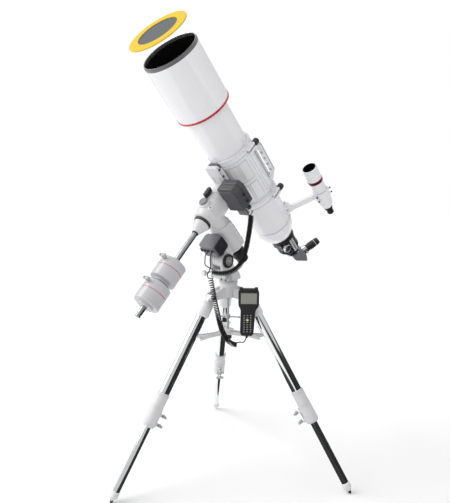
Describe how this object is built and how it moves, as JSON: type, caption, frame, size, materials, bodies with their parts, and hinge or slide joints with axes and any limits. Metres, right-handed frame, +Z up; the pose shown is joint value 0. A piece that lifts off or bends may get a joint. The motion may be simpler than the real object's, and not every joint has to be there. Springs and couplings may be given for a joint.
{
  "type": "refractor telescope",
  "caption": "Refractor telescope on an equatorial go-to mount with folding tripod, sliding counterweights, finder, star diagonal, handset and a solar filter held ahead of its dew cap.",
  "frame": {"origin": "middle of the telescope's footprint box at floor level, under the tripod's feet", "axes": "+Z up; the polar axis lies in the plane of Y and Z and points up towards -Y; +X is the side of the declination motor box"},
  "size_m": [0.8658, 1.0196, 1.6774],
  "materials": {
    "cast_silver": "painted satin",
    "white_paint": "gloss paint",
    "white_weight": "gloss paint",
    "grey_cast": "satin paint",
    "chrome_tube": "polished",
    "steel_part": "brushed",
    "dark_plastic": "fine texture",
    "black_plastic": "satin",
    "black_anodised": "satin anodised",
    "lens_glass": "coated",
    "filter_film": "satin",
    "black_rubber": "matte"
  },
  "bodies": {
    "tripod": {"tripod_hub": "cast_silver", "handset_cord": "black_rubber"},
    "rod": {"centre_rod": "steel_part"},
    "spreader_body": {"spreader": "cast_silver"},
    "spreader_nut_body": {"spreader_nut": "black_plastic"},
    "azimuth": {"azimuth_base": "white_paint", "latitude_axle": "dark_plastic"},
    "azimuth_bolt_l": {"azimuth_bolt_left": "grey_cast"},
    "azimuth_bolt_r": {"azimuth_bolt_right": "grey_cast"},
    "latitude_bolt_body": {"latitude_bolt": "white_paint"},
    "polar": {"polar_housing": "white_paint", "ra_motor_box": "dark_plastic", "dec_cord": "black_rubber"},
    "polar_scope_body": {"polar_scope": "black_plastic"},
    "ra": {"dec_housing": "white_paint", "dec_motor_box": "dark_plastic", "shaft_collar": "white_paint", "counterweight_shaft": "steel_part"},
    "cap_body": {"polar_cap": "grey_cast"},
    "clutch": {"dec_clutch_knob": "black_plastic"},
    "circle": {"dec_setting_circle": "black_plastic"},
    "weight_upper": {"upper_weight": "white_weight"},
    "weight_lower": {"lower_weight": "white_weight"},
    "screw_upper": {"upper_weight_screw": "steel_part"},
    "screw_lower": {"lower_weight_screw": "steel_part"},
    "dec": {"saddle": "white_paint"},
    "tube": {"dovetail_bar": "black_anodised", "cradle_lower": "white_paint", "main_tube": "white_paint", "dew_cap": "white_paint", "objective": "lens_glass", "rear_cell": "white_paint"},
    "cradle_lid": {"cradle_upper": "white_paint"},
    "knob_front": {"cradle_knob_front": "black_plastic"},
    "knob_rear": {"cradle_knob_rear": "black_plastic"},
    "focuser": {"focuser_body": "black_anodised"},
    "knob_focus": {"focus_knob": "steel_part"},
    "draw": {"drawtube": "black_anodised"},
    "diagonal_body": {"diagonal": "black_anodised"},
    "eyepiece_body": {"eyepiece": "black_plastic"},
    "finder": {"finder_bracket": "white_paint", "finder_tube": "white_paint"},
    "filter": {"solar_filter": "filter_film"},
    "handset_body": {"handset": "black_plastic"},
    "keys": {"handset_keys": "dark_plastic"},
    "left_leg": {"left_leg_top": "cast_silver", "left_leg_tube": "chrome_tube", "left_leg_clamp": "grey_cast"},
    "left_lower": {"left_leg_inner": "chrome_tube"},
    "left_screw": {"left_leg_screw": "grey_cast"},
    "right_leg": {"right_leg_top": "cast_silver", "right_leg_tube": "chrome_tube", "right_leg_clamp": "grey_cast"},
    "right_lower": {"right_leg_inner": "chrome_tube"},
    "right_screw": {"right_leg_screw": "grey_cast"},
    "rear_leg": {"rear_leg_top": "cast_silver", "rear_leg_tube": "chrome_tube", "rear_leg_clamp": "grey_cast"},
    "rear_lower": {"rear_leg_inner": "chrome_tube"},
    "rear_screw": {"rear_leg_screw": "grey_cast"}
  },
  "joints": [
    {"name": "rod_turn", "type": "hinge", "parent": "tripod", "child": "rod", "pos_m": [-0.05114, -0.0133, 0.607], "axis": [0, 0, 1], "continuous": true},
    {"name": "spreader_drop", "type": "slide", "parent": "tripod", "child": "spreader_body", "axis": [0, 0, 1], "range_m": [-0.151, 0]},
    {"name": "spreader_nut_turn", "type": "hinge", "parent": "spreader_body", "child": "spreader_nut_body", "pos_m": [-0.05114, -0.0133, 0.528], "axis": [0, 0, 1], "continuous": true},
    {"name": "left_leg_fold", "type": "hinge", "parent": "tripod", "child": "left_leg", "pos_m": [-0.06833, -0.09348, 0.695], "axis": [0.9778, -0.2096, 0], "range_deg": [0, 15.01]},
    {"name": "left_leg_slide", "type": "slide", "parent": "left_leg", "child": "left_lower", "axis": [-0.1088, -0.5075, -0.8548], "range_m": [-0.2, 0.04]},
    {"name": "left_screw_turn", "type": "hinge", "parent": "left_leg", "child": "left_screw", "pos_m": [-0.1143, -0.30793, 0.27598], "axis": [-0.1792, -0.8358, 0.519], "continuous": true},
    {"name": "right_leg_fold", "type": "hinge", "parent": "tripod", "child": "right_leg", "pos_m": [0.02689, 0.01191, 0.695], "axis": [-0.3074, 0.9516, 0], "range_deg": [0, 15.01]},
    {"name": "right_leg_slide", "type": "slide", "parent": "right_leg", "child": "right_lower", "axis": [0.4939, 0.1595, -0.8548], "range_m": [-0.2, 0.04]},
    {"name": "right_screw_turn", "type": "hinge", "parent": "right_leg", "child": "right_screw", "pos_m": [0.23561, 0.07932, 0.27598], "axis": [0.8134, 0.2627, 0.519], "continuous": true},
    {"name": "rear_leg_fold", "type": "hinge", "parent": "tripod", "child": "rear_leg", "pos_m": [-0.11198, 0.04168, 0.695], "axis": [-0.6704, -0.742, 0], "range_deg": [0, 15.01]},
    {"name": "rear_leg_slide", "type": "slide", "parent": "rear_leg", "child": "rear_lower", "axis": [-0.3851, 0.348, -0.8548], "range_m": [-0.2, 0.04]},
    {"name": "rear_screw_turn", "type": "hinge", "parent": "rear_leg", "child": "rear_screw", "pos_m": [-0.27472, 0.18872, 0.27598], "axis": [-0.6342, 0.5731, 0.519], "continuous": true},
    {"name": "azimuth", "type": "hinge", "parent": "tripod", "child": "azimuth", "pos_m": [-0.05114, -0.0133, 0.743], "axis": [0, 0, 1], "range_deg": [-8, 8]},
    {"name": "azimuth_left_turn", "type": "hinge", "parent": "azimuth", "child": "azimuth_bolt_l", "pos_m": [-0.09114, -0.0543, 0.771], "axis": [1, 0, 0], "continuous": true},
    {"name": "azimuth_right_turn", "type": "hinge", "parent": "azimuth", "child": "azimuth_bolt_r", "pos_m": [-0.01114, -0.0543, 0.771], "axis": [1, 0, 0], "continuous": true},
    {"name": "latitude_bolt_turn", "type": "hinge", "parent": "azimuth", "child": "latitude_bolt_body", "pos_m": [-0.07114, -0.1033, 0.791], "axis": [0, 1, 0], "continuous": true},
    {"name": "latitude", "type": "hinge", "parent": "azimuth", "child": "polar", "pos_m": [-0.05114, -0.0595, 0.836], "axis": [1, 0, 0], "range_deg": [-19, 25], "deforming": ["handset_cord"]},
    {"name": "polar_scope_turn", "type": "hinge", "parent": "polar", "child": "polar_scope_body", "pos_m": [-0.05114, 0.04762, 0.84821], "axis": [0, -0.6947, 0.7193], "continuous": true},
    {"name": "right_ascension", "type": "hinge", "parent": "polar", "child": "ra", "pos_m": [-0.05114, -0.1191, 1.02085], "axis": [0, -0.6947, 0.7193], "range_deg": [-90, 90], "deforming": ["dec_cord"]},
    {"name": "polar_cap_pull", "type": "slide", "parent": "ra", "child": "cap_body", "axis": [0, -0.6947, 0.7193], "range_m": [0, 0.02]},
    {"name": "clutch_turn", "type": "hinge", "parent": "ra", "child": "clutch", "pos_m": [-0.05114, -0.1333, 1.09055], "axis": [0, -0.6947, 0.7193], "range_deg": [-45, 45]},
    {"name": "setting_circle_turn", "type": "hinge", "parent": "ra", "child": "circle", "pos_m": [-0.05114, -0.1601, 0.98125], "axis": [0, -0.7193, -0.6947], "continuous": true},
    {"name": "upper_weight_slide", "type": "slide", "parent": "ra", "child": "weight_upper", "axis": [0, -0.7193, -0.6947], "range_m": [-0.12, 0]},
    {"name": "lower_weight_slide", "type": "slide", "parent": "ra", "child": "weight_lower", "axis": [0, -0.7193, -0.6947], "range_m": [0, 0.036]},
    {"name": "upper_screw_turn", "type": "hinge", "parent": "weight_upper", "child": "screw_upper", "pos_m": [-0.05114, -0.34781, 0.8834], "axis": [0, -0.6947, 0.7193], "continuous": true},
    {"name": "lower_screw_turn", "type": "hinge", "parent": "weight_lower", "child": "screw_lower", "pos_m": [-0.05114, -0.41902, 0.81463], "axis": [0, -0.6947, 0.7193], "continuous": true},
    {"name": "declination", "type": "hinge", "parent": "ra", "child": "dec", "pos_m": [-0.05114, -0.1191, 1.02085], "axis": [0, -0.7193, -0.6947], "continuous": true},
    {"name": "dovetail_slide", "type": "slide", "parent": "dec", "child": "tube", "axis": [0, -0.6947, 0.7193], "range_m": [-0.04, 0.04]},
    {"name": "cradle_open", "type": "hinge", "parent": "tube", "child": "cradle_lid", "pos_m": [-0.14814, 0.04275, 1.17715], "axis": [0, -0.6947, 0.7193], "range_deg": [0, 60]},
    {"name": "front_knob_turn", "type": "hinge", "parent": "cradle_lid", "child": "knob_front", "pos_m": [0.05186, 0.00519, 1.27363], "axis": [0, 0.7193, 0.6947], "continuous": true},
    {"name": "rear_knob_turn", "type": "hinge", "parent": "cradle_lid", "child": "knob_rear", "pos_m": [0.05186, 0.16288, 1.11034], "axis": [0, 0.7193, 0.6947], "continuous": true},
    {"name": "focuser_turn", "type": "hinge", "parent": "tube", "child": "focuser", "pos_m": [-0.0469, 0.3255, 0.89413], "axis": [0, -0.6947, 0.7193], "range_deg": [-90, 90]},
    {"name": "focus_knob_turn", "type": "hinge", "parent": "focuser", "child": "knob_focus", "pos_m": [-0.05455, 0.31556, 0.85673], "axis": [0.9744, -0.1618, -0.1563], "range_deg": [-134.4, 269.6]},
    {"name": "focus_travel", "type": "slide", "parent": "focuser", "child": "draw", "axis": [0, 0.6947, -0.7193], "range_m": [-0.015, 0.0301]},
    {"name": "diagonal_turn", "type": "hinge", "parent": "draw", "child": "diagonal_body", "pos_m": [-0.04372, 0.39862, 0.82573], "axis": [0, -0.6947, 0.7193], "continuous": true},
    {"name": "eyepiece_slide", "type": "slide", "parent": "diagonal_body", "child": "eyepiece_body", "axis": [0.5299, 0.61, 0.5891], "range_m": [0, 0.03]},
    {"name": "finder_slide", "type": "slide", "parent": "tube", "child": "finder", "axis": [0, -0.6947, 0.7193], "range_m": [0, 0.04]},
    {"name": "filter_fit", "type": "slide", "parent": "tube", "child": "filter", "axis": [0, -0.6947, 0.7193], "range_m": [-0.065, 0.06]},
    {"name": "handset_lift", "type": "slide", "parent": "tripod", "child": "handset_body", "axis": [0, 0, 1], "range_m": [0, 0.1]},
    {"name": "keys_press", "type": "slide", "parent": "handset_body", "child": "keys", "axis": [-0.6818, 0.7316, 0], "range_m": [0, 0.001], "stiffness_N_per_m": 900}
  ],
  "couplings": [
    {"joint": "left_leg_fold", "follows": "spreader_drop", "rad_per_m": -1.7338},
    {"joint": "right_leg_fold", "follows": "spreader_drop", "rad_per_m": -1.7338},
    {"joint": "rear_leg_fold", "follows": "spreader_drop", "rad_per_m": -1.7338},
    {"joint": "focus_knob_turn", "follows": "focus_travel", "rad_per_m": 156.25}
  ]
}
